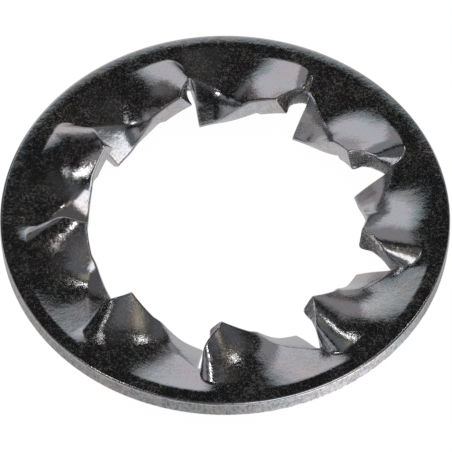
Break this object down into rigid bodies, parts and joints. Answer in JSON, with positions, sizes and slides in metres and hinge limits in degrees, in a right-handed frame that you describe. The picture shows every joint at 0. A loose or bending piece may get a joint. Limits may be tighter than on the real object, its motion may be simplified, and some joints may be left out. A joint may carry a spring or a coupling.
{
  "type": "toothed lock washer",
  "caption": "Flat spring-steel lock washer with twisted teeth around the inside of its ring.",
  "frame": {"origin": "centre of the ring, half way through its thickness", "axes": "+Z along the axis of the hole, out of the face whose outer edge is rounded; +X through the middle of a tooth. Seen from +Z each tooth's clockwise corner is raised and its counter-clockwise corner is lowered."},
  "size_m": [0.018, 0.018, 0.003],
  "materials": {
    "zinc_plated_steel": "bright zinc plated, mirror-like with fine speckle"
  },
  "bodies": {
    "root": {"lock_washer": "zinc_plated_steel"}
  },
  "joints": []
}
